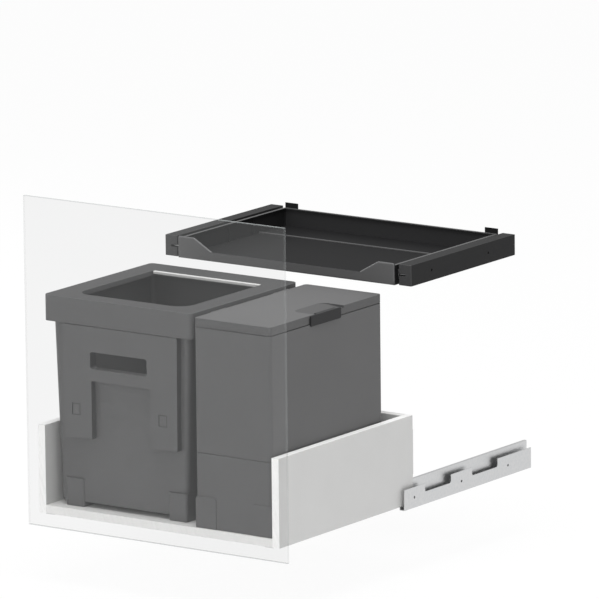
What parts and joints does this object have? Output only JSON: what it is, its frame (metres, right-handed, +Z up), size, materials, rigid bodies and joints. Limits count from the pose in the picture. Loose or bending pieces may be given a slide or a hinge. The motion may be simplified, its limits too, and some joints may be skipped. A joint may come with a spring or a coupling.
{
  "type": "pull out bin frame",
  "caption": "Pull-out waste bin unit for a kitchen base cabinet: runners, hollow-sided drawer with clear front, open and lidded bins, tray above.",
  "frame": {"origin": "middle of the cabinet opening's width, on the cabinet floor, in the plane of the cabinet's front edges", "axes": "+X to the right seen from the front, +Y to the cabinet's back, +Z up; the drawer opens along -Y"},
  "size_m": [0.596, 0.839, 0.632],
  "materials": {
    "zinc_steel": "zinc plated",
    "white_steel": "satin powder coat",
    "white_board": "white laminate",
    "bin_grey": "fine grain",
    "lid_grey": "fine grain",
    "light_grey": "satin",
    "dark_grip": "matt",
    "clear_acrylic": "clear",
    "tray_grey": "fine grain",
    "housing_grey": "satin",
    "cap_grey": "satin",
    "natural_nylon": "matt"
  },
  "bodies": {
    "cabinet_side": {"wall_bracket_right": "zinc_steel", "wall_bracket_left": "zinc_steel", "fixed_rail_right": "zinc_steel", "fixed_rail_left": "zinc_steel", "tray_housing_right": "housing_grey", "tray_housing_left": "housing_grey", "housing_caps_right": "cap_grey", "housing_caps_left": "cap_grey", "tray_guides_right": "natural_nylon", "tray_guides_left": "natural_nylon"},
    "middle_rails": {"middle_rail_right": "zinc_steel", "middle_rail_left": "zinc_steel", "glide_pads_right": "natural_nylon", "glide_pads_left": "natural_nylon"},
    "drawer": {"drawer_rail_right": "zinc_steel", "drawer_rail_left": "zinc_steel", "drawer_side_right": "white_steel", "drawer_side_left": "white_steel", "bottom_board": "white_board", "back_board": "white_board", "floor_screws": "zinc_steel", "front_bracket_right": "white_steel", "front_bracket_left": "white_steel", "rear_bracket_right": "zinc_steel", "rear_bracket_left": "zinc_steel", "rear_bracket_screws": "zinc_steel", "clear_front": "clear_acrylic", "small_stand": "bin_grey", "stand_screws": "zinc_steel"},
    "large_bin": {"large_bin": "bin_grey"},
    "bag_frame": {"bag_frame": "bin_grey", "bag_bar": "light_grey"},
    "small_bin": {"small_bin": "bin_grey", "lid_hinge_pins": "zinc_steel"},
    "lid": {"small_lid": "lid_grey", "lid_grip": "dark_grip"},
    "tray": {"tray": "tray_grey", "tray_rail_right": "zinc_steel", "tray_rail_left": "zinc_steel", "tray_rear_hooks": "tray_grey"}
  },
  "joints": [
    {"name": "pull_out", "type": "slide", "parent": "cabinet_side", "child": "drawer", "axis": [0, -1, 0], "range_m": [-0.396, 0.1]},
    {"name": "middle_slide", "type": "slide", "parent": "cabinet_side", "child": "middle_rails", "axis": [0, -1, 0], "range_m": [-0.198, 0.05]},
    {"name": "large_bin_lift", "type": "slide", "parent": "drawer", "child": "large_bin", "axis": [0, 0, 1], "range_m": [0, 0.18]},
    {"name": "bag_frame_lift", "type": "slide", "parent": "large_bin", "child": "bag_frame", "axis": [0, 0, 1], "range_m": [0, 0.06]},
    {"name": "small_bin_lift", "type": "slide", "parent": "drawer", "child": "small_bin", "axis": [0, 0, 1], "range_m": [0, 0.18]},
    {"name": "lid_hinge", "type": "hinge", "parent": "small_bin", "child": "lid", "pos_m": [0.0825, -0.212, 0.421], "axis": [0, -1, 0], "range_deg": [0, 90]},
    {"name": "tray_slide", "type": "slide", "parent": "cabinet_side", "child": "tray", "axis": [0, -1, 0], "range_m": [0, 0.14]}
  ],
  "couplings": [
    {"joint": "middle_slide", "follows": "pull_out", "ratio": 0.5}
  ]
}
